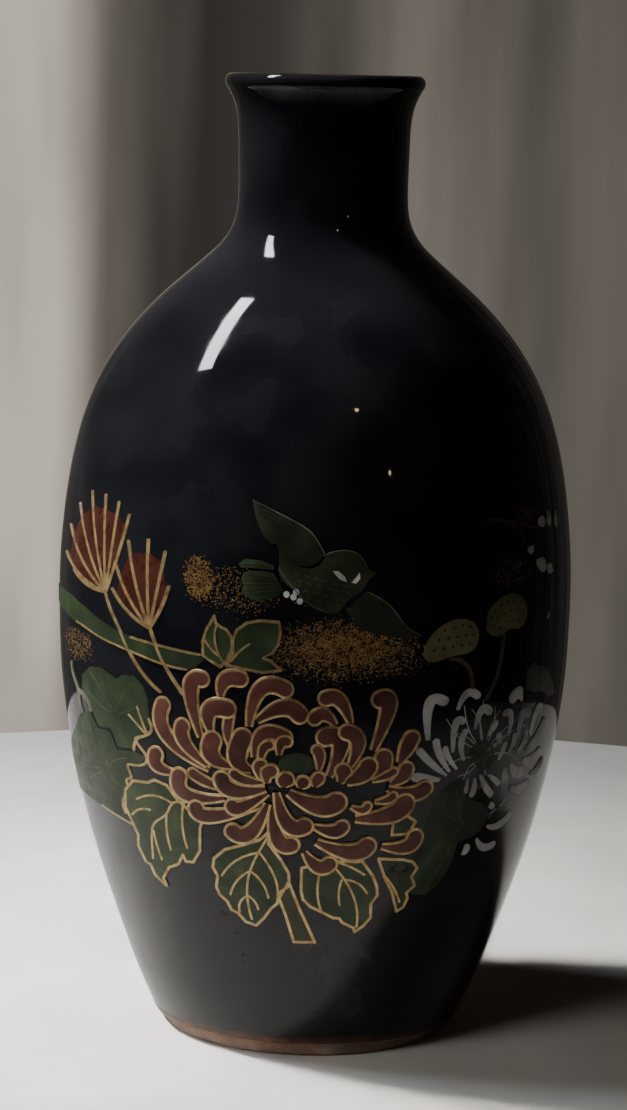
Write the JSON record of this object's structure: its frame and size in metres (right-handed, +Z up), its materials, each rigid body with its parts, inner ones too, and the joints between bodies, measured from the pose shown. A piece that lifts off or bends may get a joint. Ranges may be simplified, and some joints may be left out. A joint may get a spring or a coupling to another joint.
{
  "type": "sake bottle",
  "caption": "Stoneware pouring bottle with a glossy black glaze, flared lip, narrow neck, rounded belly and enamelled flowers, leaves and bird on the front.",
  "frame": {"origin": "middle of the foot ring on the table plane", "axes": "+Z up along the bottle's axis, the painted front faces -Y, +X to the right seen from the front"},
  "size_m": [0.0862, 0.0862, 0.16],
  "materials": {
    "bare_clay": "unglazed fired stoneware",
    "black_glaze": "glossy black glaze",
    "liner_glaze": "glossy dark liner glaze",
    "red_enamel": "satin red-brown overglaze enamel",
    "gold_line": "satin pale gold overglaze line",
    "green_enamel": "satin green overglaze enamel",
    "olive_enamel": "satin olive overglaze enamel",
    "red_wash": "thin dark red overglaze wash",
    "white_enamel": "satin white overglaze enamel",
    "pod_enamel": "satin pale olive overglaze enamel",
    "dark_enamel": "dark overglaze dots",
    "brown_enamel": "brown overglaze enamel",
    "bird_enamel": "satin grey-green overglaze enamel",
    "gold_flake": "fired gold dust"
  },
  "bodies": {
    "root": {"stoneware_body": "bare_clay", "black_glaze": "black_glaze", "liner_glaze": "liner_glaze", "base_glaze": "black_glaze", "red_petals": "red_enamel", "red_petal_lines": "gold_line", "red_flower_eye": "green_enamel", "front_leaves": "green_enamel", "front_leaf_lines": "gold_line", "flower_stem": "olive_enamel", "flower_stem_lines": "gold_line", "fan_washes": "red_wash", "fan_ribs": "gold_line", "grass_blade_lines": "gold_line", "grass_blade": "green_enamel", "left_leaf_lines": "gold_line", "coral_sprig": "white_enamel", "left_leaf_high": "green_enamel", "left_leaf_low": "olive_enamel", "lotus_pods": "pod_enamel", "pod_seeds": "dark_enamel", "pod_stems": "brown_enamel", "white_petals": "white_enamel", "white_flower_eye": "olive_enamel", "plum_petals": "white_enamel", "plum_twigs": "brown_enamel", "right_leaf_low": "green_enamel", "right_leaf_high": "green_enamel", "bird_plumage": "bird_enamel", "bird_tail": "green_enamel", "bird_marks": "white_enamel", "gold_dust": "gold_flake"}
  },
  "joints": []
}
